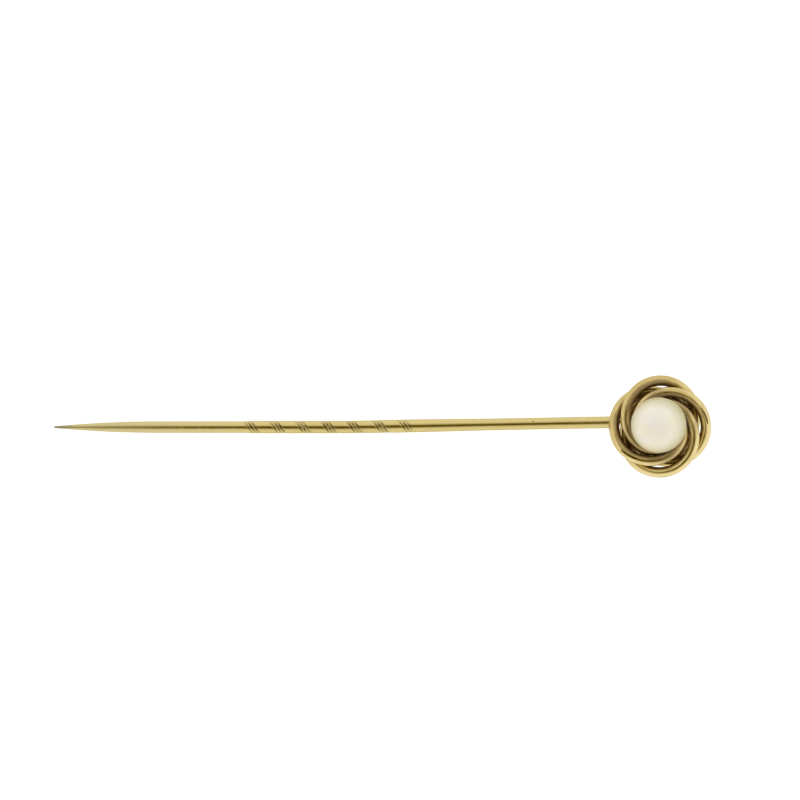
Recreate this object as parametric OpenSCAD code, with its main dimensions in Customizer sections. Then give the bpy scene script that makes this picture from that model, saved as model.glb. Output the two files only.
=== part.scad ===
// Stick pin: a knot of four interlaced wire rings round a pearl, on a small round plate that is
// soldered flat on a pointed stem.
// The stem lies along X with its point toward -X. The knot faces +Z.
// The origin is on the stem's axis, midway along the plain shank between point and twist.

/* [Stem] */
// Diameter of the plain shank, where cloth or a guard sits
shank_d = 1.04; // [0.9:0.02:1.1]
// Length of the plain shank
plain_len = 7.7; // [6:0.1:9]
// Length of the ground point
point_len = 9.8; // [6:0.1:11]
// Diameter of the flat left at the very tip
tip_d = 0.16; // [0.08:0.02:0.2]
// Diameter of the stem along the engraved twist
twist_d = 1.12; // [1.04:0.02:1.2]
// Diameter of the stem at its thickest, near the twist's end
swell_d = 1.18; // [1.12:0.02:1.3]
// Distance from the tip to the stem's thickest place
swell_from_tip = 31.3; // [29:0.1:34]
// Diameter of the upper stem
upper_d = 1.06; // [0.9:0.02:1.1]
// Distance from the tip to where the upper stem is down to its own diameter
upper_from_tip = 41.8; // [36:0.1:46]
// Diameter of the thin tang under the knot
tang_d = 0.62; // [0.5:0.02:0.8]
// Distance from the tip to the slight bend in the stem
bend_from_tip = 26.7; // [20:0.1:34]
// Angle of the slight bend, in the plane of the knot's face
bend_angle = 1.05; // [0.5:0.05:3]
// Radius of the slight bend, along the stem's axis
bend_radius = 60; // [20:5:100]
// How far the tang runs past the knot's centre, across its back
stem_past_centre = 3.2; // [2:0.1:3.3]

/* [Knot] */
// Distance from the tip to the knot's centre
knot_from_tip = 55.5; // [45:0.1:70]
// Sideways offset of the knot's centre from the plain shank's axis
knot_y = 0.06; // [-0.5:0.01:0.5]
// Diameter of the ring wire
wire_d = 0.97; // [0.8:0.01:0.97]
// Mean radius of each ring round the knot's centre
ring_radius = 3.20; // [3.1:0.01:3.4]
// How far each ring swings out on one side and in on the other
ring_swing = 0.86; // [0.8:0.01:0.9]
// How far each ring is drawn out at both those ends
ring_draw = 0.14; // [0.0:0.01:0.15]
// How far each ring rises on one side and dips on the other
ring_rise = 0.86; // [0.86:0.01:1.0]
// Angle of the first ring's outermost point from the +X axis
lobe_turn = -3; // [-15:1:15]

// Diameter of the round plate under the rings
plate_d = 6.70; // [6.5:0.05:7.0]
// Thickness of the round plate
plate_t = 0.30; // [0.25:0.05:0.5]

/* [Pearl] */
// Diameter of the pearl
pearl_d = 5.14; // [4.6:0.02:5.2]
// Offset of the pearl's axis from the knot's centre along X
pearl_dx = -0.17; // [-0.2:0.01:0.2]
// Offset of the pearl's axis from the knot's centre along Y
pearl_dy = 0.13; // [-0.2:0.01:0.2]
// Diameter of the peg wire
peg_d = 0.70; // [0.5:0.05:0.8]
// Diameter of the hole drilled in the pearl
drill_d = 0.90; // [0.85:0.05:1.1]
// Depth of the hole drilled in the pearl
drill_depth = 2.6; // [1.5:0.1:3]
// Diameter of the cup's rim under the pearl
cup_d = 2.60; // [2.0:0.05:2.6]

/* [Hidden] */

gap = 0.01;                                   // clearance left between touching pieces
ring_count = 4;
ring_steps = 72;                              // rings of points along each wire
wire_sides = 12;                              // sides of the wire's section
point_steps = 16;                             // cuts along the ground point
blend_len = 0.8;                              // length of the step from the shank to the twist
neck_from = 4.5;                              // the stem thins down to its tang between these
neck_to = 3.8;                                // two distances from the knot's centre
tang_bevel = 0.1;
contact_turn = 11;                            // each ring touches the next this far either side of
                                              // the place opposite its lobe
pad_d = 0.40;                                 // solder pads between crossing wires
pad_h = 0.12;
plate_pad_h = 0.06;                           // solder pads between the plate and the wires on it
plate_round = 0.08;                           // bevel round the plate's upper and lower edges
fillet = 0.25;                                // width and height of the solder round the cup's foot
seam_len = 4.6;                               // solder along the tang under the plate
seam_in = 0.14;                               // from the tang's axis to the solder's inner edge
seam_out = 0.46;                              // from the tang's axis to the solder's outer edge
seam_low = 0.12;                              // height of the solder's lowest edge above the axis
cup_foot_d = 1.5;
cup_stem_d = 1.7;                             // the cup's width at half its height
foot_share = 0.2;                             // part of the cup's height taken by its straight foot
lip_share = 0.08;                             // part of the cup's height taken by its upright lip
peg_short = 0.2;                              // how far the peg stops short of the hole's end
cement_low = 0.1;                             // from the pearl's lowest point up to the cement
bend_lap = 0.05;                              // degrees of arc that run into each half of the stem
bend_slim = 0.004;                            // how much thinner the bend's arc is than the stem
slope_step = 0.5;                             // degrees either side, for the wire's direction
touch_step = 3;                               // degrees between the places tried against the pearl
through = 1;                                  // how far a cut runs past the face it starts from

tip_x = -(point_len + plain_len / 2);
twist_x = plain_len / 2;
bend_x = tip_x + bend_from_tip;
knot_x = tip_x + knot_from_tip;
plate_z = tang_d / 2 + gap;                    // the plate's underside, just clear of the tang
plate_top_z = plate_z + plate_t;
knot_z = plate_top_z + gap + wire_d / 2 + ring_rise;
bend_reach = bend_radius * tan(bend_angle / 2);  // from the bend's corner to each end of its arc
stem_end = (knot_x + stem_past_centre - bend_x) / cos(bend_angle);

// The ring wire's centre line: out and in by ring_swing, up and down by ring_rise, once round
function ring_reach(turn) = ring_radius + ring_swing * cos(turn) + ring_draw * cos(2 * turn);
function ring_point(lobe, a) = let (r = ring_reach(a - lobe))
    [r * cos(a), r * sin(a), ring_rise * sin(a - lobe)];
function ring_slope(lobe, a) = ring_point(lobe, a + slope_step) - ring_point(lobe, a - slope_step);
function lobe_angle(k) = lobe_turn + 360 / ring_count * k;

// Height of the pearl's centre above the knot's middle plane, where it first touches the rings
touch = pearl_d / 2 + wire_d / 2 + gap;
function plan_gap(p) = norm([p.x - pearl_dx, p.y - pearl_dy]);
pearl_lift = max([for (k = [0:ring_count - 1], a = [0:touch_step:359])
    let (p = ring_point(lobe_angle(k), a)) if (plan_gap(p) < touch)
    p.z + sqrt(touch * touch - plan_gap(p) * plan_gap(p))]);
pearl_z = knot_z + pearl_lift;
pearl_x = knot_x + pearl_dx;
pearl_y = knot_y + pearl_dy;
pearl_base_z = pearl_z - pearl_d / 2;
cup_z = plate_top_z + gap;                     // the cup's foot, just clear of the plate
cup_rim_z = pearl_z - sqrt(pearl_d * pearl_d - cup_d * cup_d) / 2 - gap;
peg_top_z = pearl_base_z + drill_depth - peg_short;

// A turned shape along +X from an outline of [distance, radius] pairs
module along_x(outline) {
    rotate([0, 90, 0]) rotate_extrude($fn = 48)
        polygon(concat([[0, outline[0].x]], [for (p = outline) [p.y, p.x]],
                       [[0, outline[len(outline) - 1].x]]));
}

module lower_stem() {
    point = [for (i = [0:point_steps]) let (t = i / point_steps)
        [tip_x + point_len * t, (tip_d + (shank_d - tip_d) * (1 - pow(1 - t, 2))) / 2]];
    along_x(concat(point, [[twist_x, shank_d / 2], [twist_x + blend_len, twist_d / 2],
                           [bend_x - bend_reach, twist_d / 2]]));
}

// The arc of the bend, a hair thinner than the stem so that its ends run inside both halves
module stem_bend() {
    translate([bend_x - bend_reach, bend_radius, 0]) rotate([0, 0, -90 - bend_lap])
        rotate_extrude(angle = bend_angle + 2 * bend_lap, $fn = 360)
            translate([bend_radius, 0]) circle(d = twist_d - bend_slim, $fn = 48);
}

module upper_stem() {
    neck = knot_x - bend_x;
    translate([bend_x, 0, 0]) rotate([0, 0, bend_angle]) along_x([
        [bend_reach, twist_d / 2], [swell_from_tip - bend_from_tip, swell_d / 2],
        [upper_from_tip - bend_from_tip, upper_d / 2], [neck - neck_from, upper_d / 2],
        [neck - neck_to, tang_d / 2], [stem_end - tang_bevel, tang_d / 2],
        [stem_end, tang_d / 2 - tang_bevel]]);
}

module stem() {
    color("goldenrod") {
        lower_stem();
        stem_bend();
        upper_stem();
    }
}

// A flat round plate with bevelled edges
module back_plate() {
    color("goldenrod") translate([knot_x, knot_y, plate_z]) rotate_extrude($fn = 96)
        polygon([[0, 0], [plate_d / 2 - plate_round, 0], [plate_d / 2, plate_round],
                 [plate_d / 2, plate_t - plate_round], [plate_d / 2 - plate_round, plate_t],
                 [0, plate_t]]);
}

// A closed round wire swept along the centre line of the ring whose lobe is at the given angle
module ring_wire(lobe) {
    points = [for (i = [0:ring_steps - 1]) let (
            a = 360 / ring_steps * i, slope = ring_slope(lobe, a),
            along = slope / norm(slope), flat = cross(along, [0, 0, 1]),
            side = flat / norm(flat), up = cross(side, along))
        for (j = [0:wire_sides - 1]) let (b = 360 / wire_sides * j)
        ring_point(lobe, a) + wire_d / 2 * (cos(b) * side + sin(b) * up)];
    function corner(i, j) = (i % ring_steps) * wire_sides + j % wire_sides;
    faces = [for (i = [0:ring_steps - 1], j = [0:wire_sides - 1], upper = [0, 1])
        upper == 0 ? [corner(i, j), corner(i + 1, j), corner(i + 1, j + 1)]
                   : [corner(i, j), corner(i + 1, j + 1), corner(i, j + 1)]];
    polyhedron(points, faces, convexity = 4);
}

module in_knot() {
    translate([knot_x, knot_y, knot_z]) children();
}

module ring_right() { color("gold") in_knot() ring_wire(lobe_angle(0)); }
module ring_top() { color("gold") in_knot() ring_wire(lobe_angle(1)); }
module ring_left() { color("gold") in_knot() ring_wire(lobe_angle(2)); }
module ring_bottom() { color("gold") in_knot() ring_wire(lobe_angle(3)); }

// A solder pad between the two rings given by their lobes, where both pass the angle a
module pad_between(lobe_a, lobe_b, a) {
    p = ring_point(lobe_a, a);
    q = ring_point(lobe_b, a);
    d = q - p;
    translate((p + q) / 2) rotate([0, acos(d.z / norm(d)), atan2(d.y, d.x)])
        cylinder(d = pad_d, h = pad_h, center = true, $fn = 24);
}

// Solder pads at the two places where each ring all but touches the next
module ring_solder() {
    color("khaki") in_knot() for (k = [0:ring_count - 1]) {
        pad_between(lobe_angle(k), lobe_angle(k + 1), lobe_angle(k) + 180 - contact_turn);
        pad_between(lobe_angle(k), lobe_angle(k - 1), lobe_angle(k) + 180 + contact_turn);
    }
}

// Solder pads where the lowest point of each ring stands on the plate, run into the wire
module plate_solder() {
    color("khaki") translate([knot_x, knot_y, plate_top_z + gap / 2])
        for (k = [0:ring_count - 1]) rotate([0, 0, lobe_angle(k) - 90])
            translate([ring_reach(90), 0, 0]) cylinder(d = pad_d, h = plate_pad_h, $fn = 24);
}

// Solder that runs along both sides of the tang in the corner under the plate
module stem_solder() {
    color("khaki") translate([bend_x, 0, 0]) rotate([0, 0, bend_angle]) for (side = [-1, 1])
        translate([stem_end - stem_past_centre - seam_len / 2, 0, 0]) rotate([0, 90, 0])
            linear_extrude(height = seam_len)
                polygon([[gap - plate_z, side * seam_in], [gap - plate_z, side * seam_out],
                         [-seam_low, side * (tang_d / 2 + gap)]]);
}

// A small dished cup on a foot, in the open middle of the knot
module pearl_cup() {
    rise = cup_rim_z - cup_z;
    color("gold") difference() {
        translate([pearl_x, pearl_y, cup_z]) rotate_extrude($fn = 48)
            polygon([[0, 0], [cup_foot_d / 2, 0], [cup_foot_d / 2, rise * foot_share],
                     [cup_stem_d / 2, rise / 2], [cup_d / 2, rise * (1 - lip_share)],
                     [cup_d / 2, rise], [0, rise]]);
        translate([pearl_x, pearl_y, pearl_z]) sphere(d = pearl_d + 2 * gap, $fn = 96);
        translate([pearl_x, pearl_y, 0]) cylinder(d = peg_d + gap, h = pearl_z, $fn = 32);
    }
}

// A ring of solder round the cup's foot, in the corner on the plate
module cup_solder() {
    inner = cup_foot_d / 2 + gap;
    color("khaki") translate([pearl_x, pearl_y, cup_z]) rotate_extrude($fn = 48)
        polygon([[inner, 0], [inner + fillet, 0], [inner, fillet]]);
}

module pearl_peg() {
    color("gold") translate([pearl_x, pearl_y, cup_z])
        cylinder(d = peg_d, h = peg_top_z - cup_z, $fn = 32);
}

// Cement that fills the drilled hole round and above the peg
module pearl_cement() {
    color("ivory") difference() {
        translate([pearl_x, pearl_y, pearl_base_z + cement_low])
            cylinder(d = drill_d - gap, h = drill_depth - cement_low - gap, $fn = 32);
        translate([pearl_x, pearl_y, cup_z])
            cylinder(d = peg_d + gap, h = peg_top_z - cup_z + gap, $fn = 32);
    }
}

module pearl() {
    color("floralwhite") difference() {
        translate([pearl_x, pearl_y, pearl_z]) sphere(d = pearl_d, $fn = 96);
        translate([pearl_x, pearl_y, pearl_base_z - through])
            cylinder(d = drill_d, h = drill_depth + through, $fn = 32);
    }
}

stem();
back_plate();
ring_right();
ring_top();
ring_left();
ring_bottom();
ring_solder();
plate_solder();
stem_solder();
pearl_cup();
cup_solder();
pearl_peg();
pearl_cement();
pearl();
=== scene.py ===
"""A stick pin lying on a pale floor: four interlaced gold wire rings round a pearl, on a pointed stem.

Every length is in metres, in the row frame: +X runs along the stem to the knot and +Z is the knot's face.
"""

import math

import bpy
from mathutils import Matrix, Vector, noise


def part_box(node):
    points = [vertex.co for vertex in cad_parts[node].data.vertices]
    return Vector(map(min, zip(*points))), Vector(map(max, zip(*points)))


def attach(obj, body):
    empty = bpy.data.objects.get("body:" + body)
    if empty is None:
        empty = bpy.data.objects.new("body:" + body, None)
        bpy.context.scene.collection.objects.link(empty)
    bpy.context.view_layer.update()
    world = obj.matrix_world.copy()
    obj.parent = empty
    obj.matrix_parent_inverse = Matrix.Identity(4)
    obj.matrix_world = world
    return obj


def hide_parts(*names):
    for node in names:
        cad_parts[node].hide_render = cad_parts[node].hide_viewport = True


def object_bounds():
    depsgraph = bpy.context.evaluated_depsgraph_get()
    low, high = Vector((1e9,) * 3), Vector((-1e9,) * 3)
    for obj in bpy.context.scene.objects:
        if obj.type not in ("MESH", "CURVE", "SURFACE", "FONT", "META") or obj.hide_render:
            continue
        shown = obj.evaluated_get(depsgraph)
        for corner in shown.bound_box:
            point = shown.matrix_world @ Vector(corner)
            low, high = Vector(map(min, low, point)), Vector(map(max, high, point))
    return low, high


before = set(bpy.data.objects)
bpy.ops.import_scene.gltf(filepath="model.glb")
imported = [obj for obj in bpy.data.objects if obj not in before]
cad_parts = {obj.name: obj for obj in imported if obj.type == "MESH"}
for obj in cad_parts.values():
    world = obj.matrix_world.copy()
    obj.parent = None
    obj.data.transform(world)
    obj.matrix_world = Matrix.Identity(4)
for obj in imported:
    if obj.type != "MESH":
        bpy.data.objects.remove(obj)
cad_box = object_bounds()

MM = 0.001
BODY = "pin"

# Driving dimensions, as in the CAD source
WIRE_R = 0.485 * MM            # ring wire's radius
RING_RADIUS = 3.20 * MM        # mean radius of each ring round the knot's centre
RING_SWING = 0.86 * MM         # how far a ring swings out and in
RING_DRAW = 0.14 * MM          # how far it is drawn out at both ends
LOBE_TURN = math.radians(-3)   # the first ring's outermost point
CONTACT_TURN = math.radians(11)  # where a ring touches its neighbours, either side of its inner end
TIP_R = 0.08 * MM
SHANK_R = 0.52 * MM            # plain shank
TWIST_R = 0.56 * MM            # stem along the engraved twist
SWELL_R = 0.59 * MM            # stem at its thickest
UPPER_R = 0.53 * MM            # upper stem
TANG_R = 0.31 * MM             # thin tang under the knot
POINT_LEN = 9.8 * MM
PLAIN_LEN = 7.7 * MM
TWIST_LEN = 17.8 * MM
BLEND_LEN = 0.8 * MM
SWELL_FROM_TIP = 31.3 * MM
UPPER_FROM_TIP = 41.8 * MM
NECK_FROM = 4.5 * MM           # the stem thins to its tang between these distances from the knot's centre
NECK_TO = 3.8 * MM
BEND_FROM_TIP = 26.7 * MM
BEND_ANGLE = math.radians(1.05)
BEND_RADIUS = 60 * MM

# Places worked out from the frame
RINGS = ["ring_right", "ring_top", "ring_left", "ring_bottom"]
ring_boxes = [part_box(name) for name in RINGS]
knot = sum((lo + hi for lo, hi in ring_boxes), Vector()) / (2 * len(RINGS))
RING_RISE = (ring_boxes[0][1].z - ring_boxes[0][0].z) / 2 - WIRE_R
tip = Vector((cad_box[0].x, 0, 0))
stem_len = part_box("stem")[1].x - tip.x
pearl_lo, pearl_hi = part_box("pearl")
pearl_centre = (pearl_lo + pearl_hi) / 2
PEARL_R = (pearl_hi.z - pearl_lo.z) / 2
plate_lo, plate_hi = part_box("back_plate")


# ---------------------------------------------------------------- camera

VIEW_SPAN = 1.217              # the picture's width, in pin lengths
AIM_X, AIM_Y = 0.0267, 0.0403  # the picture's centre from the pin's middle, in pin lengths
CAMERA_HEIGHT = 1.5            # far enough off to flatten the perspective


def add_camera():
    """Straight down on the knot's face, with the pin across the picture as it was photographed."""
    length = cad_box[1].x - cad_box[0].x
    centre = (cad_box[0] + cad_box[1]) / 2
    data = bpy.data.cameras.new("camera")
    data.sensor_width = 36
    data.lens = data.sensor_width * CAMERA_HEIGHT / (VIEW_SPAN * length)
    data.clip_start = 0.01
    data.clip_end = 20
    camera = bpy.data.objects.new("camera", data)
    camera.location = (centre.x + AIM_X * length, centre.y + AIM_Y * length, knot.z + CAMERA_HEIGHT)
    bpy.context.scene.collection.objects.link(camera)
    bpy.context.scene.camera = camera


add_camera()


# ---------------------------------------------------------------- materials

class Shader:
    """A material's node tree, with short calls to add and join nodes."""

    def __init__(self, name):
        self.material = bpy.data.materials.new(name)
        self.material.use_nodes = True
        self.tree = self.material.node_tree
        self.surface = self.tree.nodes["Principled BSDF"]
        coordinates = self.add("ShaderNodeTexCoord")
        self.place = coordinates.outputs["Object"]
        self.normal = coordinates.outputs["Normal"]

    def add(self, kind, **inputs):
        node = self.tree.nodes.new(kind)
        for key, value in inputs.items():
            self.set(node, key, value)
        return node

    def set(self, node, key, value):
        socket = node.inputs[key.replace("_", " ")] if isinstance(key, str) else node.inputs[key]
        if isinstance(value, bpy.types.NodeSocket):
            self.tree.links.new(value, socket)
        else:
            socket.default_value = value

    def noise(self, size, detail=3.0, roughness=0.5, vector=None):
        """Noise from 0 to 1 whose features are about size metres across."""
        node = self.add("ShaderNodeTexNoise", Vector=vector or self.place, Scale=1 / size,
                        Detail=detail, Roughness=roughness)
        return node.outputs["Fac"]

    def stretched(self, x, y, z):
        """The object's coordinates, scaled along each axis."""
        node = self.add("ShaderNodeMapping", Vector=self.place, Scale=(x, y, z))
        return node.outputs["Vector"]

    def ramp(self, value, low, high, out_low=0.0, out_high=1.0):
        node = self.add("ShaderNodeMapRange", Value=value)
        node.inputs["From Min"].default_value = low
        node.inputs["From Max"].default_value = high
        node.inputs["To Min"].default_value = out_low
        node.inputs["To Max"].default_value = out_high
        return node.outputs["Result"]

    def math(self, operation, a, b):
        node = self.tree.nodes.new("ShaderNodeMath")
        node.operation = operation
        self.set(node, 0, a)
        self.set(node, 1, b)
        return node.outputs[0]

    def mix(self, factor, a, b):
        node = self.tree.nodes.new("ShaderNodeMix")
        node.data_type = "RGBA"
        self.set(node, 0, factor)
        self.set(node, 6, a)
        self.set(node, 7, b)
        return node.outputs[2]

    def bump(self, height, distance, strength=1.0, normal=None):
        node = self.add("ShaderNodeBump", Height=height, Distance=distance, Strength=strength)
        if normal:
            self.set(node, "Normal", normal)
        return node.outputs["Normal"]

    def vector(self, operation, a, b=None):
        node = self.tree.nodes.new("ShaderNodeVectorMath")
        node.operation = operation
        self.set(node, 0, a)
        if b is not None:
            self.set(node, 1, b)
        return node.outputs["Value" if operation in ("DOT_PRODUCT", "LENGTH") else "Vector"]

    def stops(self, value, colours):
        """A colour ramp from [position, colour] pairs."""
        node = self.add("ShaderNodeValToRGB", Fac=value)
        elements = node.color_ramp.elements
        while len(elements) < len(colours):
            elements.new(0.5)
        for element, (position, colour) in zip(elements, colours):
            element.position = position
            element.color = (*colour, 1)
        return node.outputs["Color"]

    def inner_side(self, centre):
        """1 where the surface faces the axis through centre, -1 where it faces away."""
        offset = self.vector("SUBTRACT", self.place, tuple(centre))
        inward = self.vector("NORMALIZE", self.vector("MULTIPLY", offset, (-1, -1, 0)))
        return self.vector("DOT_PRODUCT", inward, self.normal)

    def upward(self):
        """1 where the surface faces +Z, -1 where it faces down."""
        return self.vector("DOT_PRODUCT", self.normal, (0, 0, 1))

    def recess(self, distance, low, high):
        """1 in creases and hollows, 0 on open surfaces."""
        node = self.add("ShaderNodeAmbientOcclusion", Distance=distance)
        node.samples = 8
        return self.ramp(node.outputs["AO"], low, high, 1.0, 0.0)

    def cut_lines(self):
        """1 at the bottom of a piece's cut lines, 0 elsewhere."""
        node = self.tree.nodes.new("ShaderNodeAttribute")
        node.attribute_name = "cut"
        return self.ramp(node.outputs["Fac"], 0.04, 0.36)

    def drawn(self, size):
        """Streaks drawn out along a bent wire, about size metres across."""
        node = self.tree.nodes.new("ShaderNodeAttribute")
        node.attribute_name = "wire"
        squeezed = self.add("ShaderNodeMapping", Vector=node.outputs["Vector"], Scale=(0.16, 1, 1))
        return self.noise(size, 4, 0.6, squeezed.outputs["Vector"])


def finish_gold(s, metal, shade_and_dirt, roughness, hand=0.012 * MM):
    """Fine scratches, waviness hand metres deep, and a duller surface where the patina and painted shade
    lie.
    """
    s.surface.inputs["Metallic"].default_value = 1.0
    s.surface.inputs["Specular Tint"].default_value = (0.62, 0.55, 0.38, 1)
    wear = s.ramp(s.noise(0.35 * MM, 5), 0.3, 0.7, roughness - 0.04, roughness + 0.06)
    s.set(s.surface, "Base Color", metal)
    s.set(s.surface, "Roughness", s.math("ADD", wear, s.math("MULTIPLY", shade_and_dirt, 0.22)))
    uneven = s.bump(s.noise(0.8 * MM, 2), hand, 0.5)
    scratches = s.noise(0.09 * MM, 4, 0.6, s.stretched(0.25, 1, 1))
    s.set(s.surface, "Normal", s.bump(scratches, 0.002 * MM, 0.5, uneven))
    return s.material


def gold(name, light, deep, roughness, shade_and_tarnish):
    """Worn yellow gold: two tones, fine scratches, and a dark patina and painted shade in the recesses.
    """
    s = Shader(name)
    tone = s.ramp(s.noise(2.2 * MM, 2), 0.35, 0.65)
    metal = s.mix(tone, (*light, 1), (*deep, 1))
    patch = s.ramp(s.noise(0.5 * MM, 4), 0.3, 0.75, 0.55, 1.0)
    # The recesses are painted dark brown: patina, and painted shade where the shade falls.
    shade_and_dirt = s.math("MULTIPLY", s.recess(0.9 * MM, 0.10, 0.62), patch)
    shade_and_dirt = s.math("MULTIPLY", shade_and_dirt, shade_and_tarnish)
    return finish_gold(s, s.mix(shade_and_dirt, metal, (0.100, 0.064, 0.030, 1)), shade_and_dirt, roughness)


def engraved_gold(name, light, deep, roughness):
    """The stem's gold: brown patina in the engraved lines, a duller ground point, a few pits, and patina
    and painted shade in the recesses.
    """
    s = Shader(name)
    tone = s.ramp(s.noise(3.0 * MM, 3, 0.5, s.stretched(0.4, 1, 1)), 0.35, 0.65)
    metal = s.mix(tone, (*light, 1), (*deep, 1))
    along = s.add("ShaderNodeSeparateXYZ", Vector=s.place).outputs["X"]
    ground = s.ramp(along, tip.x + 3 * MM, tip.x + 18 * MM, 1.0, 0.0)
    metal = s.mix(s.math("MULTIPLY", ground, 0.5), metal, (0.56, 0.50, 0.30, 1))
    point = s.ramp(along, tip.x + 0.3 * MM, tip.x + 2.2 * MM, 0.75, 0.0)
    metal = s.mix(point, metal, (0.24, 0.225, 0.16, 1))
    rub = s.math("MULTIPLY", s.ramp(s.noise(0.30 * MM, 3), 0.32, 0.58, 0.45, 1.0),
                 s.ramp(s.upward(), 0.60, 0.96, 0.32, 1.0))
    lines = s.math("MULTIPLY", s.cut_lines(), rub)
    metal = s.mix(lines, metal, (0.080, 0.048, 0.002, 1))
    spots = s.add("ShaderNodeTexVoronoi", Vector=s.place, Scale=1 / (2.1 * MM)).outputs["Distance"]
    pits = s.math("MULTIPLY", s.ramp(spots, 0.030, 0.052, 1.0, 0.0), 0.8)
    # Pits, and patina with painted shade in the recesses, are painted dark brown.
    shade_and_dirt = s.math("MAXIMUM", pits, s.recess(0.7 * MM, 0.10, 0.55))
    handled = s.ramp(along, knot.x - 9 * MM, knot.x - 4 * MM, 0.0, 0.35)
    dull = s.math("ADD", s.math("MAXIMUM", s.math("MULTIPLY", ground, 1.15), handled),
                  s.math("MAXIMUM", shade_and_dirt, lines))
    return finish_gold(s, s.mix(shade_and_dirt, metal, (0.070, 0.042, 0.010, 1)), dull, roughness, 0.030 * MM)


def knot_gold(name, light, deep, roughness):
    """Gold bright on the outer flanks, with brown painted shade and reflection on the flanks facing the
    pearl.

    The painted shade is strongest at the upper left of the knot and weakest at the lower right. The
    ends that go in beside the pearl get a darker painted shade, lifted to lighter gold on the right
    and at the upper left; the lower strands get painted shade under the others, and the hollows too.
    """
    s = Shader(name)
    streaks = s.ramp(s.drawn(0.20 * MM), 0.30, 0.70)
    tone = s.math("ADD", s.math("MULTIPLY", s.noise(2.2 * MM, 2), 0.6), s.math("MULTIPLY", streaks, 0.4))
    offset = s.vector("SUBTRACT", s.place, tuple(knot))
    # The gold's tone is deeper toward the upper left of the knot.
    tone = s.math("ADD", tone, s.vector("DOT_PRODUCT", offset, (-26, 34, 0)))
    metal = s.mix(s.ramp(tone, 0.34, 0.66), (*light, 1), (*deep, 1))
    patchy = s.math("MULTIPLY", s.math("SUBTRACT", s.noise(0.8 * MM, 3), 0.5), 0.45)
    streaky = s.math("MULTIPLY", s.math("SUBTRACT", streaks, 0.5), 0.38)
    # The painted shade's edge wanders with the streaks and reaches further toward the upper left.
    edge = s.math("ADD", s.math("ADD", patchy, streaky), s.vector("DOT_PRODUCT", offset, (-62, 80, 0)))
    inner = s.math("ADD", s.inner_side(knot), edge)
    # Painted shade and reflection: the flanks that face the pearl are painted brown with a lilac cast,
    # darkest where they face it most.
    brown = s.stops(inner, [(0.0, (0.50, 0.385, 0.185)), (0.30, (0.38, 0.280, 0.140)),
                            (0.62, (0.285, 0.202, 0.112)), (0.95, (0.235, 0.166, 0.098))])
    lilac = s.ramp(s.noise(1.1 * MM, 3), 0.45, 0.70, 0.0, 0.55)
    brown = s.mix(lilac, brown, (0.29, 0.205, 0.155, 1))
    brown = s.mix(s.math("MULTIPLY", streaks, 0.35), brown, (0.48, 0.360, 0.185, 1))
    height = s.add("ShaderNodeSeparateXYZ", Vector=offset).outputs["Z"]
    raised = s.ramp(height, -0.45 * MM, -0.15 * MM)
    inner_shade = s.math("MULTIPLY", s.ramp(inner, 0.06, 0.42, 0.0, 0.97), s.ramp(raised, 0, 1, 0.20, 1.0))
    shaded_metal = s.mix(inner_shade, metal, brown)
    reach = s.math("ADD", s.vector("LENGTH", s.vector("MULTIPLY", offset, (1, 1, 0))),
                   s.math("MULTIPLY", s.math("SUBTRACT", streaks, 0.5), 0.40 * MM))
    # Painted shade on the ends that go in beside the pearl; it is lifted to lighter gold on the right and
    # at the upper left.
    tail = s.ramp(reach, 3.52 * MM, 3.10 * MM, 0.0, 0.92)
    ochre = s.mix(streaks, (0.46, 0.335, 0.155, 1), (0.24, 0.168, 0.082, 1))
    right = s.ramp(s.vector("DOT_PRODUCT", offset, (0.94, -0.34, 0)), 2.0 * MM, 2.6 * MM)
    upper_left = s.ramp(s.vector("DOT_PRODUCT", offset, (-0.80, 0.60, 0)), 2.2 * MM, 2.8 * MM)
    shade_lifted_ends = s.math("MULTIPLY", s.math("MAXIMUM", right, upper_left),
                    s.ramp(reach, 3.40 * MM, 3.00 * MM, 0.0, 0.9))
    tailing = s.mix(shade_lifted_ends, s.mix(inner_shade, ochre, brown), (0.70, 0.550, 0.265, 1))
    shaded_metal = s.mix(tail, shaded_metal, tailing)
    # Painted shade on the upward faces of the lower strands, under the strands above, within about 4 mm
    # of the centre.
    under = s.math("MULTIPLY", s.ramp(raised, 1, 0, 0.0, 0.25), s.ramp(reach, 4.05 * MM, 3.75 * MM))
    under = s.math("MULTIPLY", under, s.ramp(s.upward(), -0.2, 0.35))
    shaded_metal = s.mix(under, shaded_metal, (0.290, 0.215, 0.125, 1))
    # Painted shade in the hollows between the wires, stronger on the raised parts.
    hollow = s.math("MULTIPLY", s.recess(0.5 * MM, 0.0, 0.32), s.ramp(raised, 0, 1, 0.30, 0.75))
    shaded_metal = s.mix(hollow, shaded_metal, (0.215, 0.155, 0.098, 1))
    shade_and_dirt = s.math("MAXIMUM", s.math("MAXIMUM", s.math("MULTIPLY", inner_shade, 0.7), hollow),
                  s.math("MULTIPLY", s.math("MAXIMUM", tail, under), 0.6))
    seam = s.math("MULTIPLY", s.cut_lines(), 0.95)
    return finish_gold(s, s.mix(seam, shaded_metal, (0.080, 0.043, 0.002, 1)), shade_and_dirt, roughness, 0.020 * MM)


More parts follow.
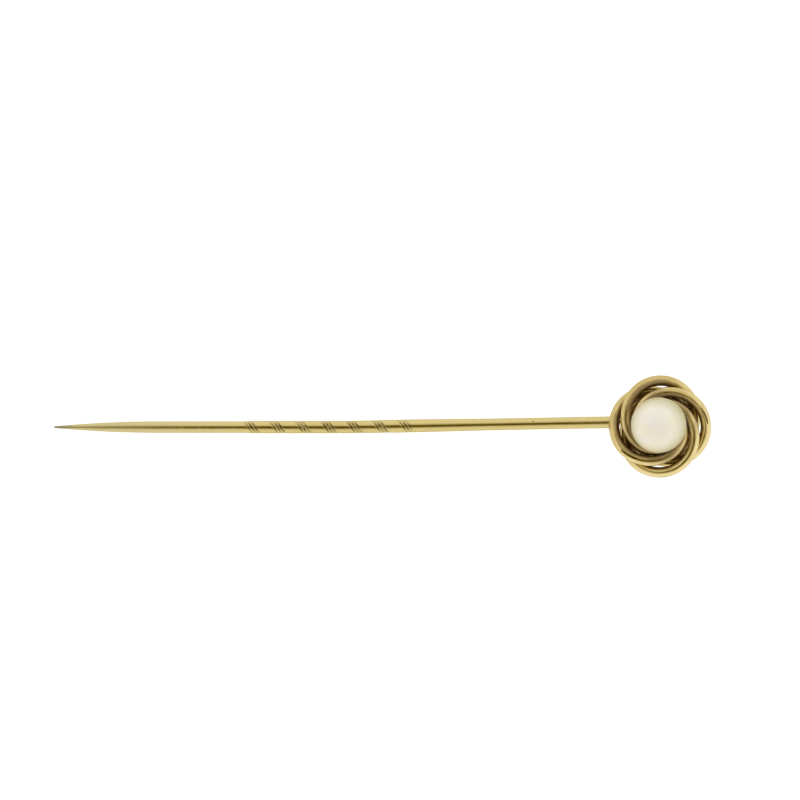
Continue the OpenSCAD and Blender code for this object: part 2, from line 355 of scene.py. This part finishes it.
def pearl_nacre(name):
    """Soft cream nacre with a faint play of pink and lavender, a painted lavender tint on top and a
    painted gold reflection round its edge.
    """
    s = Shader(name)
    cloud = s.noise(2.4 * MM, 2)
    cream = s.mix(s.ramp(cloud, 0.35, 0.65), (0.89, 0.850, 0.72, 1), (0.92, 0.870, 0.77, 1))
    lavender = s.ramp(s.noise(1.7 * MM, 2, 0.5, s.stretched(1, 1.3, 0.8)), 0.45, 0.65, 0.0, 0.75)
    tinted = s.mix(lavender, cream, (0.90, 0.855, 0.85, 1))
    height = s.vector("DOT_PRODUCT", s.normal, (-0.09, -0.04, 1))
    # Painted light: the top is tinted lavender to make up for the yellowish light that falls on it.
    painted_top_tint = s.ramp(s.vector("DOT_PRODUCT", s.normal, (-0.06, 0.26, 1)), 0.84, 1.03, 0.0, 0.75)
    tinted = s.mix(painted_top_tint, tinted, (0.95, 0.905, 0.90, 1))
    # Painted reflection: an olive-gold band of the surrounding gold, round the pearl's edge.
    clouded = s.math("ADD", height, s.math("MULTIPLY", cloud, 0.12))
    painted_gold_reflection = s.math("MULTIPLY", s.ramp(clouded, 0.84, 0.36), s.ramp(clouded, 0.25, -0.25, 1.0, 0.35))
    s.set(s.surface, "Base Color", s.mix(painted_gold_reflection, tinted, (0.53, 0.470, 0.255, 1)))
    s.surface.inputs["Subsurface Weight"].default_value = 0.35
    s.surface.inputs["Subsurface Radius"].default_value = (0.9, 0.75, 0.55)
    s.surface.inputs["Subsurface Scale"].default_value = 0.6 * MM
    s.surface.inputs["Specular IOR Level"].default_value = 0.30
    s.surface.inputs["Coat Weight"].default_value = 0.12
    s.surface.inputs["Coat Roughness"].default_value = 0.35
    s.set(s.surface, "Roughness", s.ramp(s.noise(0.6 * MM, 3), 0.3, 0.7, 0.40, 0.52))
    s.set(s.surface, "Normal", s.bump(s.noise(0.12 * MM, 3), 0.002 * MM, 0.35))
    return s.material


def cement_paste(name):
    s = Shader(name)
    grain = s.noise(0.08 * MM, 4)
    s.set(s.surface, "Base Color", s.mix(grain, (0.62, 0.57, 0.43, 1), (0.72, 0.67, 0.54, 1)))
    s.set(s.surface, "Roughness", s.ramp(grain, 0.3, 0.7, 0.7, 0.9))
    s.set(s.surface, "Normal", s.bump(grain, 0.01 * MM))
    return s.material


stem_gold = engraved_gold("stem_gold", (0.64, 0.525, 0.240), (0.60, 0.480, 0.205), 0.17)
ring_gold = knot_gold("ring_gold", (0.76, 0.630, 0.335), (0.55, 0.420, 0.175), 0.15)
plate_gold = gold("plate_gold", (0.66, 0.530, 0.300), (0.52, 0.400, 0.215), 0.44, 0.20)
cup_gold = gold("cup_gold", (0.62, 0.48, 0.22), (0.55, 0.40, 0.17), 0.26, 0.9)
solder_gold = gold("solder_gold", (0.45, 0.36, 0.20), (0.36, 0.28, 0.15), 0.30, 0.6)
nacre = pearl_nacre("nacre")
cement = cement_paste("cement")


# ---------------------------------------------------------------- mesh helpers

def add_piece(name, verts, faces, material, slot, *nodes, cuts=None, lay=None):
    """A closed mesh that rides on the pin.

    cuts says how deep in a cut line each point is, 0 to 1. lay gives each point's place on the wire
    as if it were pulled straight along X.
    """
    mesh = bpy.data.meshes.new(name)
    mesh.from_pydata(verts, [], faces)
    if cuts:
        mesh.attributes.new("cut", "FLOAT", "POINT").data.foreach_set("value", cuts)
    if lay:
        numbers = [c for point in lay for c in point]
        mesh.attributes.new("wire", "FLOAT_VECTOR", "POINT").data.foreach_set("vector", numbers)
    mesh.polygons.foreach_set("use_smooth", [True] * len(faces))
    mesh.update()
    mesh.materials.append(material)
    piece = bpy.data.objects.new(name, mesh)
    bpy.context.scene.collection.objects.link(piece)
    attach(piece, BODY)
    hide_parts(*nodes)


def grid_faces(rows, columns, closed):
    """Quads between rows of points, each row a closed loop; closed joins the last row to the first."""
    faces = []
    for i in range(rows if closed else rows - 1):
        for j in range(columns):
            a, b = i * columns, (i + 1) % rows * columns
            k = (j + 1) % columns
            faces.append((a + j, a + k, b + k, b + j))
    return faces


def lathe(profile, centre, around=96, bored=False):
    """A turned shape about Z through centre, from [radius, z] pairs that run up its outside.

    A bored shape's profile is a closed loop. Any other starts and ends beside the axis.
    """
    verts = []
    for radius, z in profile:
        for j in range(around):
            t = 2 * math.pi * j / around
            verts.append((centre.x + radius * math.cos(t), centre.y + radius * math.sin(t), z))
    faces = grid_faces(len(profile), around, closed=bored)
    if not bored:
        last = len(verts) - around
        faces += [tuple(range(around - 1, -1, -1)), tuple(range(last, last + around))]
    return verts, faces


def arc(cx, cz, radius, start, end, steps):
    """Points [x, z] along an arc, with angles in degrees."""
    angles = [math.radians(start + (end - start) * i / steps) for i in range(steps + 1)]
    return [(cx + radius * math.cos(a), cz + radius * math.sin(a)) for a in angles]


# ---------------------------------------------------------------- knot rings

def ring_reach(turn):
    return RING_RADIUS + RING_SWING * math.cos(turn) + RING_DRAW * math.cos(2 * turn)


def ring_point(lobe, a):
    r = ring_reach(a - lobe)
    return Vector((r * math.cos(a), r * math.sin(a), RING_RISE * math.sin(a - lobe)))


def ring_axes(lobe, a):
    """The wire's direction at angle a, with the outward and upward directions across it."""
    step = 0.002
    along = (ring_point(lobe, a + step) - ring_point(lobe, a - step)).normalized()
    side = along.cross(Vector((0, 0, 1))).normalized()
    return along, side, side.cross(along)


SEAMS = {"ring_right": (6, 32), "ring_left": (33, 62)}   # degrees past the lobe where a seam shows
SEAM_DEPTH = 0.035 * MM
SEAM_HALF = 0.055 * MM         # half width of the seam's groove
RING_WAVE = 1.1 * MM           # size of the waves that hand bending left in the wire
RING_WAVE_DEPTH = 0.006 * MM


def seam_depth(name, turn, point, up):
    """Depth of the seam where a ring's ends meet, from 0 to 1.

    turn is the angle past the ring's lobe, and up is how far the surface faces up. A seam shows only
    on the upper side.
    """
    first, last = SEAMS.get(name, (0, 0))
    degrees = math.degrees((turn + math.pi) % (2 * math.pi) - math.pi)
    if up < 0 or not first < degrees < last:
        return 0
    fade = min(1, (degrees - first) / 4) * min(1, (last - degrees) / 12)
    slant = (0.20 - 0.18 * (degrees - first) / (last - first)) * MM
    across = (math.hypot(point.x, point.y) - ring_reach(turn) - slant) / SEAM_HALF
    return fade * math.exp(-across ** 2)


def add_ring(index, steps=540, sides=64):
    lobe = LOBE_TURN + index * math.pi / 2
    start = lobe - math.pi / 2
    verts, cuts, lay = [], [], []
    length, before = 0.0, ring_point(lobe, start)
    for i in range(steps):
        a = start + 2 * math.pi * i / steps
        side, up = ring_axes(lobe, a)[1:]
        middle = ring_point(lobe, a)
        length += (middle - before).length
        before = middle
        for j in range(sides):
            b = 2 * math.pi * j / sides
            out = math.cos(b) * side + math.sin(b) * up
            point = middle + WIRE_R * out
            wave = noise.noise(point / RING_WAVE + Vector((7.3 * index, 0, 0)))
            seam = seam_depth(RINGS[index], a - lobe, point, out.z)
            depth = RING_WAVE_DEPTH * (1 - wave) + seam * SEAM_DEPTH
            verts.append(knot + middle + (WIRE_R - depth) * out)
            cuts.append(seam)
            lay.append((length, WIRE_R * math.cos(b), WIRE_R * math.sin(b) + 3 * index * MM))
    faces = [tuple(reversed(f)) for f in grid_faces(steps, sides, closed=True)]
    add_piece(RINGS[index] + "_wire", verts, faces, ring_gold, "ring_gold", RINGS[index],
              cuts=cuts, lay=lay)


for index in range(len(RINGS)):
    add_ring(index)


# ---------------------------------------------------------------- stem

GROOVE_PITCH = 2.36 * MM
GROOVE_TOP = 18.1 * MM         # distance from the tip to the first groove group, on the stem's upper side
GROOVES = [(-0.32 * MM, 0.8), (0.0, 1.0), (0.32 * MM, 0.9)]
GROOVE_DEPTH = 0.045 * MM
GROOVE_HALF = 0.088 * MM
GROOVE_TURNS = 6.75            # turns of the helix before it has faded out
GROOVE_LEAD = 0.55             # turns before the first group where it starts to fade in
FADE_IN, FADE_OUT = 0.9, 1.6   # turns over which it fades


def groove_depth(s, t):
    """Depth of the engraved lines, from 0 to 1, at distance s from the tip and angle t round the stem."""
    turn = s - GROOVE_TOP - GROOVE_PITCH * (t - math.pi / 2) / (2 * math.pi)
    count = turn / GROOVE_PITCH
    fade = min(1, max(0, (count + GROOVE_LEAD) / FADE_IN))
    fade *= min(1, max(0, (GROOVE_TURNS - count) / FADE_OUT))
    if fade <= 0:
        return 0
    near = (count + 0.5) % 1 - 0.5
    depth = 0
    for place, weight in GROOVES:
        d = (near * GROOVE_PITCH - place) / GROOVE_HALF
        depth += weight * math.exp(-d * d)
    return min(1, fade * depth)


def ease(t):
    t = min(1, max(0, t))
    return t * t * (3 - 2 * t)


def stem_radius(s):
    if s < POINT_LEN:
        return TIP_R + (SHANK_R - TIP_R) * (1 - (1 - s / POINT_LEN) ** 2)
    bend_end = BEND_FROM_TIP + BEND_RADIUS * math.tan(BEND_ANGLE / 2)
    neck = knot.x - tip.x
    radius = SHANK_R + (TWIST_R - SHANK_R) * ease((s - POINT_LEN - PLAIN_LEN) / BLEND_LEN)
    radius += (SWELL_R - TWIST_R) * min(1, max(0, (s - bend_end) / (SWELL_FROM_TIP - bend_end)))
    radius += (UPPER_R - SWELL_R) * ease((s - SWELL_FROM_TIP) / (UPPER_FROM_TIP - SWELL_FROM_TIP))
    return radius + (TANG_R - UPPER_R) * ease((s - neck + NECK_FROM) / (NECK_FROM - NECK_TO))


def stem_axis(s):
    """Point on the stem's axis and its heading, at distance s from the tip."""
    reach = BEND_RADIUS * math.tan(BEND_ANGLE / 2)
    start = BEND_FROM_TIP - reach
    turn = min(BEND_ANGLE, max(0, (s - start) / BEND_RADIUS))
    x, y = min(s, start), 0.0
    if turn > 0:
        x += BEND_RADIUS * math.sin(turn)
        y += BEND_RADIUS * (1 - math.cos(turn))
        rest = s - start - BEND_RADIUS * turn
        x += max(0, rest) * math.cos(BEND_ANGLE)
        y += max(0, rest) * math.sin(BEND_ANGLE)
    return tip + Vector((x, y, 0)), turn


def stem_stations(full):
    """Distances from the tip, close together at the point, along the engraved twist and at the neck."""
    stations = []
    tip_to_knot = knot.x - tip.x
    s = 0.0
    while s < full:
        stations.append(s)
        if s < 0.5 * MM:
            s += 0.05 * MM
        elif s < POINT_LEN:
            s += 0.2 * MM
        elif POINT_LEN + PLAIN_LEN - 1.2 * MM < s < POINT_LEN + PLAIN_LEN + TWIST_LEN + 0.6 * MM:
            s += 0.026 * MM
        elif s > tip_to_knot - NECK_FROM - 0.1 * MM:
            s += 0.06 * MM
        else:
            s += 0.25 * MM
    return stations


def add_stem(sides=92):
    full = stem_len - 0.02 * MM
    edge = 0.1 * MM
    rows = [(s, stem_radius(s), True) for s in stem_stations(full - edge)]
    rows = [(0.0, 0.15 * TIP_R, False), (0.0, 0.6 * TIP_R, False)] + rows
    rows += [(full - edge + edge * math.sin(a), TANG_R - edge + edge * math.cos(a), False)
             for a in [math.radians(d) for d in (0, 30, 60, 90)]]
    rows += [(full, 0.4 * TANG_R, False), (full, 0.1 * TANG_R, False)]
    verts, cuts = [], []
    for s, radius, engraved in rows:
        middle, turn = stem_axis(s)
        across = Vector((-math.sin(turn), math.cos(turn), 0))
        for j in range(sides):
            t = 2 * math.pi * j / sides
            out = math.cos(t) * across + math.sin(t) * Vector((0, 0, 1))
            cut = groove_depth(s, t) if engraved else 0
            verts.append(middle + (radius - GROOVE_DEPTH * cut) * out)
            cuts.append(cut)
    faces = grid_faces(len(rows), sides, closed=False)
    faces.append(tuple(range(sides - 1, -1, -1)))
    last = (len(rows) - 1) * sides
    faces.append(tuple(range(last, last + sides)))
    add_piece("stem_wire", verts, faces, stem_gold, "stem_gold", "stem", cuts=cuts)


add_stem()


# ---------------------------------------------------------------- pearl and its setting

AXIS_R = 0.02 * MM             # radius of the small flat left where a turned shape meets its axis
FIT_GAP = 0.005 * MM           # room between a peg or filling and the hole round it
CUP_FOOT_R = 0.75 * MM


def add_pearl(around=144, steps=84):
    hole_lo, hole_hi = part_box("pearl_cement")
    hole_r = (hole_hi.x - hole_lo.x) / 2 + FIT_GAP
    start = math.degrees(math.acos(hole_r / PEARL_R))
    profile = [(AXIS_R, hole_hi.z), (hole_r, hole_hi.z)]
    profile += arc(0, pearl_centre.z, PEARL_R, -start, 90, steps)[:-1] + [(AXIS_R, pearl_hi.z)]
    verts, faces = lathe(profile, pearl_centre, around)
    for k, v in enumerate(verts[2 * around:], start=2 * around):
        out = Vector(v) - pearl_centre
        wave = noise.noise(out / (2.2 * MM) + Vector((3.1, 0, 0)))
        verts[k] = pearl_centre + out * (0.996 + 0.004 * wave)
    add_piece("pearl_bead", verts, faces, nacre, "pearl", "pearl")


def add_plate(rings=46):
    """The round plate, hand-flattened so that its face is a little uneven."""
    radius = (plate_hi.x - plate_lo.x) / 2
    edge = 0.10 * MM
    middle = (plate_lo + plate_hi) / 2
    flat = [(AXIS_R + (radius - edge - AXIS_R) * i / rings) for i in range(rings + 1)]
    profile = [(r, plate_lo.z) for r in flat]
    profile += arc(radius - edge, plate_lo.z + edge, edge, -75, 0, 5)
    profile += arc(radius - edge, plate_hi.z - edge, edge, 0, 75, 5)
    profile += [(r, plate_hi.z) for r in reversed(flat)]
    verts, faces = lathe(profile, middle, 128)
    for k, v in enumerate(verts):
        point = Vector(v)
        wave = 0.5 + 0.5 * noise.noise(point / (1.3 * MM))
        verts[k] = (v[0], v[1], v[2] + 0.016 * MM * wave * (1 if v[2] < middle.z else -1))
    add_piece("back_plate_disc", verts, faces, plate_gold, "plate_gold", "back_plate")


def add_cup():
    lo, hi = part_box("pearl_cup")
    peg_lo, peg_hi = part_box("pearl_peg")
    rim_r, foot_r = (hi.x - lo.x) / 2, CUP_FOOT_R
    hole_r = (peg_hi.x - peg_lo.x) / 2 + FIT_GAP
    rise = hi.z - lo.z
    dish_r = PEARL_R + 0.01 * MM
    lip = rim_r - 0.05 * MM
    dish = [(r, pearl_centre.z - math.sqrt(dish_r ** 2 - r ** 2))
            for r in [lip - (lip - hole_r) * i / 16 for i in range(17)]]
    outside = [(hole_r, lo.z), (foot_r - 0.04 * MM, lo.z), (foot_r, lo.z + 0.04 * MM),
               (foot_r, lo.z + rise * 0.2), (foot_r + 0.03 * MM, lo.z + rise * 0.35),
               (foot_r + 0.1 * MM, lo.z + rise * 0.5), (foot_r + 0.28 * MM, lo.z + rise * 0.7),
               (rim_r - 0.06 * MM, lo.z + rise * 0.86), (rim_r, lo.z + rise * 0.93),
               (rim_r, hi.z - 0.02 * MM), (rim_r - 0.02 * MM, hi.z)]
    verts, faces = lathe(outside + dish, pearl_centre, bored=True)
    add_piece("pearl_cup_bowl", verts, faces, cup_gold, "cup_gold", "pearl_cup")


def add_peg():
    lo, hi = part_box("pearl_peg")
    r, bevel = (hi.x - lo.x) / 2, 0.06 * MM
    profile = [(AXIS_R, lo.z), (r - bevel, lo.z), (r, lo.z + bevel), (r, hi.z - bevel),
               (r - bevel, hi.z), (AXIS_R, hi.z)]
    verts, faces = lathe(profile, (lo + hi) / 2, 48)
    add_piece("pearl_peg_wire", verts, faces, cup_gold, "cup_gold", "pearl_peg")


def add_cement():
    """Cement round the peg and over its end, closed at the top."""
    lo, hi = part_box("pearl_cement")
    peg_lo, peg_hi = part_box("pearl_peg")
    r, bore = (hi.x - lo.x) / 2, (peg_hi.x - peg_lo.x) / 2 + FIT_GAP
    bevel, roof = 0.02 * MM, peg_hi.z + FIT_GAP
    profile = [(AXIS_R, roof), (bore, roof), (bore, lo.z), (r - bevel, lo.z), (r, lo.z + bevel),
               (r, hi.z - bevel), (r - bevel, hi.z), (AXIS_R, hi.z)]
    verts, faces = lathe(profile, (lo + hi) / 2, 48)
    add_piece("pearl_cement_fill", verts, faces, cement, "cement", "pearl_cement")


add_pearl()
add_plate()
add_cup()
add_peg()
add_cement()


# ---------------------------------------------------------------- solder

def pillow(centre, along, up, half, around=28, rows=14, floor_z=None):
    """A smooth lump of solder: half is its half length along, half width and half height.

    Below floor_z it is flat, but for a trace of slope that keeps its points apart.
    """
    across = up.cross(along).normalized()
    up = along.cross(across).normalized()
    verts = []
    for i in range(1, rows):
        u = math.pi * i / rows
        for j in range(around):
            t = 2 * math.pi * j / around
            point = centre - along * half[0] * math.cos(u) + math.sin(u) * (
                across * half[1] * math.cos(t) + up * half[2] * math.sin(t))
            if floor_z is not None:
                point.z = max(point.z, floor_z + 0.0002 * MM * math.cos(t))
            verts.append(point)
    faces = grid_faces(rows - 1, around, closed=False)
    last = len(verts) - around
    faces += [tuple(range(around - 1, -1, -1)), tuple(range(last, last + around))]
    return verts, faces


def joined(parts):
    """Several closed shapes as one list of points and faces."""
    verts, faces = [], []
    for part_verts, part_faces in parts:
        faces += [tuple(k + len(verts) for k in face) for face in part_faces]
        verts += part_verts
    return verts, faces


def add_ring_solder():
    """A short seam of solder at the two places where each ring all but touches the next."""
    parts = []
    for k in range(len(RINGS)):
        lobe = LOBE_TURN + k * math.pi / 2
        for side in (-1, 1):
            a = lobe + math.pi + side * CONTACT_TURN
            p, q = ring_point(lobe, a), ring_point(lobe - side * math.pi / 2, a)
            along = ring_axes(lobe, a)[0]
            parts.append(pillow(knot + (p + q) / 2, along, (q - p).normalized(),
                                (0.50 * MM, 0.22 * MM, 0.07 * MM)))
    verts, faces = joined(parts)
    add_piece("ring_solder_fillets", verts, faces, solder_gold, "solder", "ring_solder")


def add_plate_solder():
    parts = []
    for k in range(len(RINGS)):
        a = LOBE_TURN + (k - 1) * math.pi / 2
        r = ring_reach(math.pi / 2)
        middle = Vector((knot.x + r * math.cos(a), knot.y + r * math.sin(a), plate_hi.z))
        along = Vector((-math.sin(a), math.cos(a), 0))
        parts.append(pillow(middle, along, Vector((0, 0, 1)), (0.55 * MM, 0.27 * MM, 0.09 * MM),
                            floor_z=plate_hi.z))
    verts, faces = joined(parts)
    add_piece("plate_solder_fillets", verts, faces, solder_gold, "solder", "plate_solder")


def add_stem_solder(rows=44, steps=9):
    """Two hollow-faced fillets in the corners between the tang and the plate."""
    lo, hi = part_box("stem_solder")
    length = hi.x - lo.x
    seat = TANG_R + 0.008 * MM
    parts = []
    for side in (-1, 1):
        verts = []
        for i in range(rows + 1):
            x = -length / 2 + length * i / rows
            swell = max(0.06, 1 - (2 * x / length) ** 6) ** 0.5
            along = Vector((math.cos(BEND_ANGLE), math.sin(BEND_ANGLE), 0))
            across = Vector((-along.y, along.x, 0)) * side
            middle = Vector(((lo.x + hi.x) / 2, (lo.y + hi.y) / 2, 0)) + along * x * 0.999
            inner, outer = math.radians(66), math.radians(66 - 42 * swell)
            ring = [(seat * math.cos(b), seat * math.sin(b))
                    for b in [inner + (outer - inner) * j / steps for j in range(steps + 1)]]
            y0, z0 = ring[-1]
            y1, z1 = y0 + 0.15 * MM * swell, hi.z
            ring += [(y0 + (y1 - y0) * f ** 1.6, z0 + (z1 - z0) * f ** 0.62)
                     for f in [j / steps for j in range(1, steps + 1)]]
            verts += [middle + across * y + Vector((0, 0, z)) for y, z in ring]
        sides = 2 * steps + 1
        faces = grid_faces(rows + 1, sides, closed=False)
        last = len(verts) - sides
        faces += [tuple(range(sides - 1, -1, -1)), tuple(range(last, last + sides))]
        if side < 0:
            faces = [tuple(reversed(f)) for f in faces]
        parts.append((verts, faces))
    verts, faces = joined(parts)
    add_piece("stem_solder_fillets", verts, faces, solder_gold, "solder", "stem_solder")


def add_cup_solder():
    lo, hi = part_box("cup_solder")
    foot_r = CUP_FOOT_R + 0.01 * MM
    width, height = (hi.x - lo.x) / 2 - foot_r, hi.z - lo.z
    hollow = [(foot_r + width * (1 - math.sin(a)), lo.z + height * (1 - math.cos(a)))
              for a in [math.radians(6 + 84 * i / 10) for i in range(11)]]
    verts, faces = lathe([(foot_r, lo.z)] + hollow, (lo + hi) / 2, bored=True)
    add_piece("cup_solder_fillet", verts, faces, solder_gold, "solder", "cup_solder")


add_ring_solder()
add_plate_solder()
add_stem_solder()
add_cup_solder()


# ---------------------------------------------------------------- floor and light

def add_floor():
    size = 6.0
    z = cad_box[0].z - 0.02 * MM
    mesh = bpy.data.meshes.new("floor")
    corners = [(-size, -size, z), (size, -size, z), (size, size, z), (-size, size, z)]
    mesh.from_pydata(corners, [], [(0, 1, 2, 3)])
    s = Shader("floor_paper")
    grain = s.noise(0.4 * MM, 2)
    s.set(s.surface, "Base Color", s.mix(grain, (0.22, 0.22, 0.22, 1), (0.24, 0.24, 0.24, 1)))
    s.surface.inputs["Roughness"].default_value = 0.9
    s.surface.inputs["Emission Color"].default_value = (1, 0.995, 0.955, 1)
    s.surface.inputs["Emission Strength"].default_value = 0.94
    mesh.materials.append(s.material)
    floor = bpy.data.objects.new("floor", mesh)
    bpy.context.scene.collection.objects.link(floor)


def add_world():
    """A white tent, open a little to one side of overhead, where the camera looks in."""
    world = bpy.data.worlds.new("tent")
    bpy.context.scene.world = world
    world.use_nodes = True
    tree = world.node_tree
    background = tree.nodes["Background"]
    place = tree.nodes.new("ShaderNodeTexCoord")
    toward = tree.nodes.new("ShaderNodeVectorMath")
    toward.operation = "DOT_PRODUCT"
    opening = Vector((math.sin(math.radians(-5)), math.sin(math.radians(-6)), 1)).normalized()
    toward.inputs[1].default_value = opening
    ramp = tree.nodes.new("ShaderNodeValToRGB")
    tree.links.new(place.outputs["Generated"], toward.inputs[0])
    tree.links.new(toward.outputs["Value"], ramp.inputs[0])
    tree.links.new(ramp.outputs[0], background.inputs[0])
    stops = [(0, 0.13, 0.092, 0.004), (17, 0.15, 0.108, 0.008), (23.5, 0.56, 0.50, 0.26),
             (34, 0.88, 0.86, 0.68), (50, 1.06, 1.06, 1.00), (72, 1.14, 1.14, 1.13), (90, 1.1, 1.1, 1.09)]
    stops = [(math.cos(math.radians(angle)), colour) for angle, *colour in reversed(stops)]
    elements = ramp.color_ramp.elements
    while len(elements) < len(stops):
        elements.new(0.5)
    for element, (position, value) in zip(elements, stops):
        element.position = position
        element.color = (*value, 1)
    background.inputs["Strength"].default_value = 1.0


add_floor()
add_world()
bpy.context.scene.view_settings.view_transform = "Standard"
